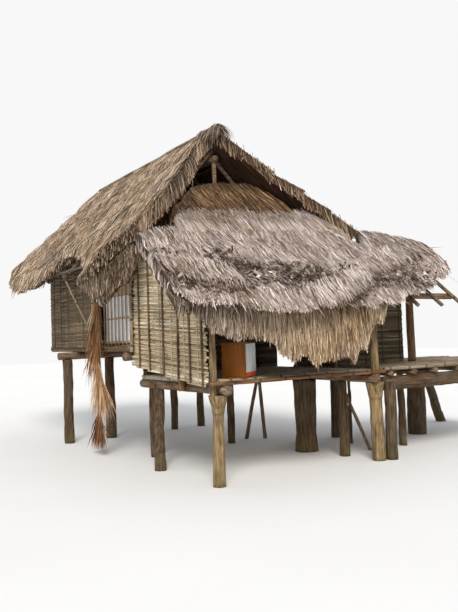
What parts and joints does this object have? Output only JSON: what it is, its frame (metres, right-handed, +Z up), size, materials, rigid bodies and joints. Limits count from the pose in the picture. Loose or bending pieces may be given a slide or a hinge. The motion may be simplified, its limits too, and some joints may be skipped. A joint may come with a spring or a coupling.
{
  "type": "stilt house",
  "caption": "Thatched hut on log stilts with a raised room, an open veranda under a low skirt roof, split bamboo walls and a pole deck at the side.",
  "frame": {"origin": "centre of the foot of the front left corner post, at ground level", "axes": "+X along the front towards the deck, +Y back along the ridge, +Z up"},
  "size_m": [6.7386, 7.5541, 4.6262],
  "materials": {
    "log_wood": "barked grey-brown hardwood logs, weathered",
    "pole_wood": "round poles and bamboo, grey-brown",
    "edge_bamboo": "orange-brown bamboo",
    "woven_bamboo": "split bamboo matting, yellow-grey",
    "dark_matting": "split bamboo matting, dark with smoke and age",
    "thatch": "dry palm thatch, tan",
    "weathered_thatch": "weathered palm thatch, pinkish grey",
    "pale_bamboo": "pale yellow-grey bamboo",
    "cupboard_board": "orange-brown varnished board",
    "dry_frond": "dry orange-brown palm frond",
    "sheet": "blank pale sheet"
  },
  "bodies": {
    "root": {"front_left_post": "log_wood", "front_right_post": "log_wood", "left_middle_post": "log_wood", "room_posts": "log_wood", "inner_veranda_posts": "log_wood", "deck_posts": "log_wood", "slanting_props": "log_wood", "veranda_beams": "log_wood", "veranda_floor": "pole_wood", "front_edge_pole": "edge_bamboo", "cross_logs": "log_wood", "room_beams": "log_wood", "room_floor": "pole_wood", "deck_front_log": "log_wood", "deck_frame": "log_wood", "deck_poles": "pole_wood", "left_wall_front": "woven_bamboo", "left_wall_battens": "pole_wood", "pale_poles": "pale_bamboo", "ridge_top_pole": "pale_bamboo", "cupboard": "cupboard_board", "hanging_frond": "dry_frond", "left_wall_middle": "woven_bamboo", "window_sheet": "sheet", "sill_log": "log_wood", "left_wall_rear": "dark_matting", "room_front_wall": "dark_matting", "rear_wall": "dark_matting", "right_wall": "dark_matting", "deck_screen": "dark_matting", "room_uprights": "log_wood", "veranda_uprights": "pole_wood", "wall_plates": "log_wood", "ridge_pole": "log_wood", "gable_frame": "log_wood", "rafters": "log_wood", "purlins": "pole_wood", "skirt_plates": "log_wood", "skirt_rafters": "pole_wood", "thatch_left": "thatch", "thatch_right": "thatch", "gable_thatch": "thatch", "skirt_thatch_lower": "thatch", "skirt_thatch_upper": "weathered_thatch", "hanging_thatch": "weathered_thatch"}
  },
  "joints": []
}
